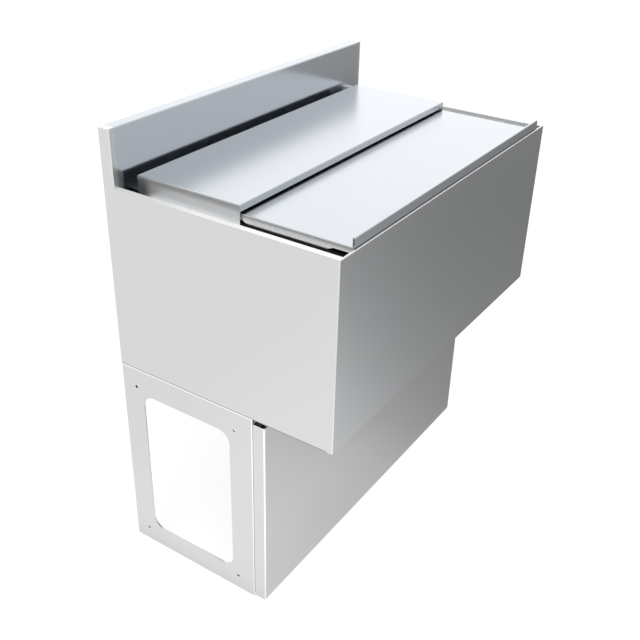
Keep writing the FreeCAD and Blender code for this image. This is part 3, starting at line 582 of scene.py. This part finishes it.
def makeBaseBolts():
    growth = Growth("baseBolts", baseBolts)
    start, given = growth.start, growth.given
    sheet = given["Washer Thickness"]
    head = given["Head Height"]
    crown = given["Crown Height"]

    def down(depth):
        return start.node("ShaderNodeCombineXYZ", None, {2: depth * -1.0})

    washer = disc(start, roundSides, given["Washer Radius"], sheet, down(sheet / 2))
    block = disc(start, 6, given["Head Radius"], head, down(sheet + head / 2))
    taper = start.node("GeometryNodeMeshCone", None, {
        "Vertices": roundSides, "Depth": crown,
        "Radius Top": given["Crown Top Radius"], "Radius Bottom": given["Crown Foot Radius"],
    })
    spots = start.node("GeometryNodeMeshGrid", None, {
        "Size X": given["Across"], "Size Y": given["Apart"], "Vertices X": 2, "Vertices Y": 2,
    })
    bolts = start.node("GeometryNodeInstanceOnPoints", None, {
        "Points": moved(start, spots, given["Middle"]),
        "Instance": joined(start, washer, block, moved(start, taper, down(sheet + head + crown))),
    })
    growth.finish(bolts, "drainMetal", "cabinet", "drain_metal")


def onDrain(drain, rise):
    # The place on a drain's axis that is this far above its foot.
    x, y, _ = mounts[drain + "_outlet"]["pos_m"]
    return (x, y, reach(drain + "_drain_body", "z")[0] + rise)


def spoutRadius(drain):
    return mounts[drain + "_outlet"]["dims"]["r_mm"] * millimetre


# the ridge of a pipe thread, wound round the lower end of each drain spout
drainThreads = {
    "iceDrainThread": {
        "Place": onDrain("ice", 0.0015), "Radius": spoutRadius("ice"), "Height": 0.018, "Ridge": 0.0006,
    },
    "sinkDrainThread": {
        "Place": onDrain("sink", 0.0015), "Radius": spoutRadius("sink"), "Height": 0.022, "Ridge": 0.0007,
    },
}
threadPitch = 0.0018
stepsPerTurn = 40


def makeDrainThread(name, sizes):
    growth = Growth(name, sizes)
    start, given = growth.start, growth.given
    winding = start.node("GeometryNodeCurveSpiral", None, {
        "Resolution": stepsPerTurn, "Rotations": given["Height"] / threadPitch,
        "Start Radius": given["Radius"], "End Radius": given["Radius"], "Height": given["Height"],
    })
    ridge = start.node("GeometryNodeCurvePrimitiveCircle", None, {"Resolution": 4, "Radius": given["Ridge"]})
    swept = start.node("GeometryNodeCurveToMesh", None, {
        "Curve": winding, "Profile Curve": ridge, "Fill Caps": True,
    })
    growth.finish(moved(start, swept, given["Place"]), "drainMetal", "cabinet", "drain_metal")


# bars across a drain's bore, which keep ice and cutlery out
drainBars = {
    "iceDrainBars": {"Place": onDrain("ice", 0.0775), "Length": 0.0262, "Thickness": 0.002, "Bars": 4},
    "sinkDrainBars": {"Place": onDrain("sink", 0.06), "Length": 0.0382, "Thickness": 0.003, "Bars": 2},
}


def makeDrainBars(name, sizes):
    growth = Growth(name, sizes)
    start, given = growth.start, growth.given
    thickness = given["Thickness"]
    size = start.node("ShaderNodeCombineXYZ", None, {0: given["Length"], 1: thickness, 2: thickness})
    bar = start.node("GeometryNodeMeshCube", None, {"Size": size})
    spots = start.node("GeometryNodeMeshLine", None, {"Count": given["Bars"], "Offset": (0, 0, 0)})
    turn = start.node("GeometryNodeInputIndex") * math.pi / given["Bars"]
    bars = start.node("GeometryNodeInstanceOnPoints", None, {
        "Points": spots, "Instance": bar, "Rotation": start.node("ShaderNodeCombineXYZ", None, {2: turn}),
    })
    growth.finish(moved(start, bars, given["Place"]), "drainMetal", "cabinet", "drain_metal")


makeBaseBolts()
for name, sizes in drainThreads.items():
    makeDrainThread(name, sizes)
for name, sizes in drainBars.items():
    makeDrainBars(name, sizes)


studio = {
    "floorHalf": 6.0,
    "floorDrop": 0.0005,     # the floor lies this far under the feet
    "floorColour": 0.3,
    "floorGlow": 0.84,       # what the floor adds to its lit colour where it is seen directly
    "ambient": 0.5,
    "keyPlace": (-1.5, -1.3, 3.9),
    "keyAim": (0, 0, 0.4),
    "keySize": 4.0,
    "keyPower": 110,
}

# what the metal reflects of the room, as a level from each direction
tent = {
    "level": 0.98,
    "low": (0.6, 0.8),       # below this height of direction it brightens, by so much
    "left": 0.15,
    "dimWay": (0.6, -0.8),   # towards the front right, as x and y
    "dimEdge": (0.25, 0.95),
    "dim": 0.42,
    "least": 0.3,
    "most": 1.5,
}

# what the metal reflects of the floor: bright to the front left, and darker to the right
reflectedFloor = {
    "leanStart": 0.45,       # from so far in front, the fall-off leans to the right, by so much
    "lean": 0.75,
    "fall": [
        # how far to the right, in metres, and how bright the floor is there
        (-0.9, 0.97), (-0.6, 0.96), (-0.4, 0.92), (-0.25, 0.87), (-0.12, 0.8), (0.0, 0.745),
        (0.1, 0.67), (0.27, 0.49), (0.45, 0.39), (0.6, 0.345), (0.8, 0.3), (1.1, 0.275),
        (1.5, 0.25), (2.0, 0.244),
    ],
    "patches": [
        # how much brighter a patch is, and where its soft edges start and end
        (0.45, (("x", -0.3, -0.5), ("x", -1.05, -0.8), ("front", 0.08, 0.35), ("front", 1.0, 0.7))),
        (0.08, (("x", -0.3, -0.6), ("front", -0.6, -0.05))),
        (0.14, (("front", 1.15, 1.45),)),
        (0.05, (("x", -0.37, -0.4), ("x", -0.58, -0.45))),
    ],
    "shade": (0.1, (("front", 0.24, 0.1), ("x", -0.42, -0.36))),
}


def mixShaders(factor, first, second):
    return factor.node("ShaderNodeMixShader", None, {0: factor, 1: first, 2: second})


def reflectedRay(start):
    glossy = start.node("ShaderNodeLightPath", output="Is Glossy Ray")
    return glossy.atLeast(start.node("ShaderNodeLightPath", output="Is Transmission Ray"))


def emptyTree(owner):
    owner.use_nodes = True
    owner.node_tree.nodes.clear()
    return owner.node_tree


def plainBackground(start, strength):
    return start.node("ShaderNodeBackground", None, {"Color": grey(1), "Strength": strength})


def plainGlow(start, strength):
    return start.node("ShaderNodeEmission", None, {"Color": grey(1), "Strength": strength})


def makeWorld():
    # White behind the object. What metal reflects is a bright tent, darker to the front right.
    world = bpy.data.worlds.new("studioWorld")
    tree = emptyTree(world)
    start = Wire(tree)
    x, y, z = start.node("ShaderNodeTexCoord", output="Generated").parts()
    low = (tent["low"][0] - z).atLeast(0.0) * tent["low"][1]
    left = (x * -1.0).atLeast(0.0) * tent["left"]
    dim = (x * tent["dimWay"][0] + y * tent["dimWay"][1]).ease(*tent["dimEdge"]) * tent["dim"]
    level = (low + left + tent["level"] - dim).atMost(tent["most"]).atLeast(tent["least"])
    plain = plainBackground(start, studio["ambient"])
    lit = mixShaders(reflectedRay(start), plain, plainBackground(start, level))
    cameraRay = start.node("ShaderNodeLightPath", output="Is Camera Ray")
    seen = mixShaders(cameraRay, lit, plainBackground(start, 1.0))
    seen.into(tree.nodes.new("ShaderNodeOutputWorld"), 0)
    bpy.context.scene.world = world


def patch(places, edges):
    # 1 inside all edges, 0 outside one of them.
    mask = 1.0
    for along, start, end in edges:
        mask = places[along].ease(start, end) * mask
    return mask


def floorLevel(start):
    # How bright the floor is in the metal, as in the photograph.
    x, y = start.node("ShaderNodeTexCoord", output="Object").parts()[:2]
    places = {"x": x, "front": y * -1.0}
    across = x - (places["front"] - reflectedFloor["leanStart"]).atLeast(0.0) * reflectedFloor["lean"]
    fall = reflectedFloor["fall"]
    near, far = fall[0][0], fall[-1][0]
    stops = [((place - near) / (far - near), grey(shade)) for place, shade in fall]
    level = start.node("ShaderNodeValToRGB", {"stops": stops}, {0: (across - near) / (far - near)})
    for gain, edges in reflectedFloor["patches"]:
        level = level + patch(places, edges) * gain
    loss, edges = reflectedFloor["shade"]
    return level * (1 - patch(places, edges) * loss)


def floorMaterial():
    # Pale and plain where it is seen, as floorLevel says in the metal, and see-through from below.
    made = bpy.data.materials.new("studioFloor")
    tree = emptyTree(made)
    start = Wire(tree)
    lit = start.node("ShaderNodeBsdfDiffuse", None, {"Color": grey(studio["floorColour"])})
    both = start.node("ShaderNodeAddShader", None, {0: lit, 1: plainGlow(start, studio["floorGlow"])})
    plain = mixShaders(start.node("ShaderNodeLightPath", output="Is Camera Ray"), lit, both)
    above = mixShaders(reflectedRay(start), plain, plainGlow(start, floorLevel(start)))
    below = start.node("ShaderNodeBsdfTransparent")
    seen = mixShaders(start.node("ShaderNodeNewGeometry", output="Backfacing"), above, below)
    seen.into(tree.nodes.new("ShaderNodeOutputMaterial"), 0)
    return made


def makeFloor():
    half = studio["floorHalf"]
    mesh = bpy.data.meshes.new("studioFloor")
    corners = [(-half, -half, 0), (half, -half, 0), (half, half, 0), (-half, half, 0)]
    mesh.from_pydata(corners, [], [(0, 1, 2, 3)])
    mesh.materials.append(floorMaterial())
    floor = bpy.data.objects.new("studioFloor", mesh)
    floor.location.z = -studio["floorDrop"]
    bpy.context.scene.collection.objects.link(floor)


def makeLamp():
    lamp = bpy.data.lights.new("softKey", "AREA")
    lamp.size = studio["keySize"]
    lamp.energy = studio["keyPower"]
    holder = bpy.data.objects.new("softKey", lamp)
    holder.location = studio["keyPlace"]
    aim = Vector(studio["keyAim"]) - holder.location
    holder.rotation_euler = aim.to_track_quat("-Z", "Y").to_euler()
    holder.visible_glossy = False
    bpy.context.scene.collection.objects.link(holder)


makeWorld()
makeFloor()
makeLamp()
print("studio: world, floor and one soft lamp")


viewPoint = {
    "place": (-1.33885, -0.81946, 1.31955),
    "turn": 56.6775,         # degrees from straight back towards the right
    "pitch": -29.9398,
    "roll": 1.3938,
    "focalLength": 895.555,  # in pixels of the 640 pixel frame
    "frame": 640,
    "middle": (314.104, 315.707),
    "sensor": 36,
}


def makeCamera():
    turn, pitch, roll = (math.radians(viewPoint[key]) for key in ("turn", "pitch", "roll"))
    ahead = Vector((math.sin(turn) * math.cos(pitch), math.cos(turn) * math.cos(pitch), math.sin(pitch)))
    level = ahead.cross(Vector((0, 0, 1))).normalized()
    upright = level.cross(ahead)
    across = level * math.cos(roll) + upright * math.sin(roll)
    up = upright * math.cos(roll) - level * math.sin(roll)
    lens = bpy.data.cameras.new("photoView")
    lens.sensor_width = viewPoint["sensor"]
    lens.lens = viewPoint["sensor"] * viewPoint["focalLength"] / viewPoint["frame"]
    half = viewPoint["frame"] / 2
    lens.shift_x = (half - viewPoint["middle"][0]) / viewPoint["frame"]
    lens.shift_y = (viewPoint["middle"][1] - half) / viewPoint["frame"]
    camera = bpy.data.objects.new("photoView", lens)
    columns = Matrix((across, up, -ahead)).transposed().to_4x4()
    camera.matrix_world = Matrix.Translation(Vector(viewPoint["place"])) @ columns
    bpy.context.scene.collection.objects.link(camera)
    bpy.context.scene.camera = camera


makeCamera()
bpy.context.scene.view_settings.view_transform = "Standard"
print("camera set")
